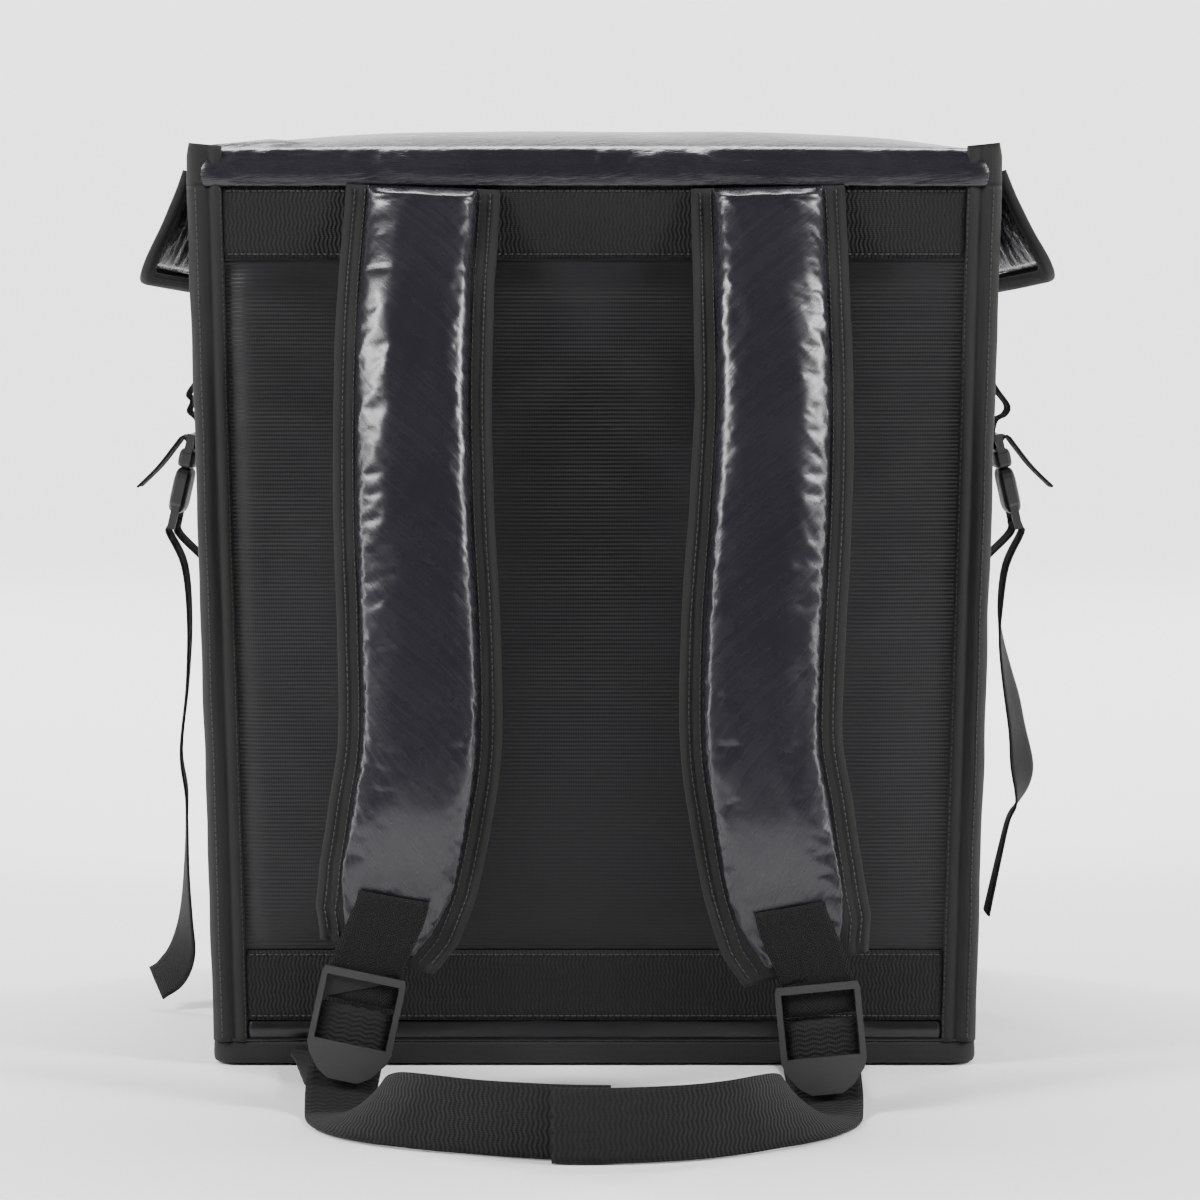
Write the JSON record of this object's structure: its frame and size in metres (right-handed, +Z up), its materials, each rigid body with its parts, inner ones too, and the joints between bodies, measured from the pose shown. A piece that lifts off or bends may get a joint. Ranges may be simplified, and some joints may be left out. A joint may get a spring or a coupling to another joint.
{
  "type": "insulated delivery backpack",
  "caption": "Upright insulated delivery backpack with padded shoulder straps, a padded lid with flared side wings, side fastening buckles and webbing tails.",
  "frame": {"origin": "middle of the bag's flat underside, where it stands on the floor", "axes": "+Z up, +X to the right of a viewer who looks at the worn side, -Y out of the worn side with the shoulder straps, +Y out of the front"},
  "size_m": [0.5306, 0.569, 0.509],
  "materials": {
    "coated_cloth": "ribbed coated cloth with a faint sheen",
    "gloss_cloth": "smooth glossy coated cloth",
    "binding_tape": "matte woven tape",
    "webbing": "matte ribbed webbing",
    "buckle_plastic": "fine matte grain"
  },
  "bodies": {
    "root": {"adjuster_webbing_left": "webbing", "adjuster_webbing_right": "webbing", "back_band_lower": "webbing", "back_band_upper": "webbing", "base_binding_back": "binding_tape", "base_binding_front": "binding_tape", "base_binding_left": "binding_tape", "base_binding_right": "binding_tape", "body_shell": "coated_cloth", "edge_tape_back_left": "binding_tape", "edge_tape_back_right": "binding_tape", "edge_tape_front_left": "binding_tape", "edge_tape_front_right": "binding_tape", "ladder_lock_left": "buckle_plastic", "ladder_lock_right": "buckle_plastic", "lid": "gloss_cloth", "lid_apron_front": "gloss_cloth", "lid_apron_front_binding": "binding_tape", "lid_corner_tape_back_left": "binding_tape", "lid_corner_tape_back_right": "binding_tape", "lid_corner_tape_front_left": "binding_tape", "lid_corner_tape_front_right": "binding_tape", "lid_wing_left": "gloss_cloth", "lid_wing_left_binding": "binding_tape", "lid_wing_right": "gloss_cloth", "lid_wing_right_binding": "binding_tape", "shoulder_pad_left": "gloss_cloth", "shoulder_pad_right": "gloss_cloth", "shoulder_strap_left": "binding_tape", "shoulder_strap_right": "binding_tape", "side_plug_left": "buckle_plastic", "side_plug_right": "buckle_plastic", "side_socket_left": "buckle_plastic", "side_socket_right": "buckle_plastic", "side_strap_lower_left": "webbing", "side_strap_lower_right": "webbing", "side_strap_upper_left": "webbing", "side_strap_upper_right": "webbing", "strap_patch_left": "webbing", "strap_patch_right": "webbing"}
  },
  "joints": []
}
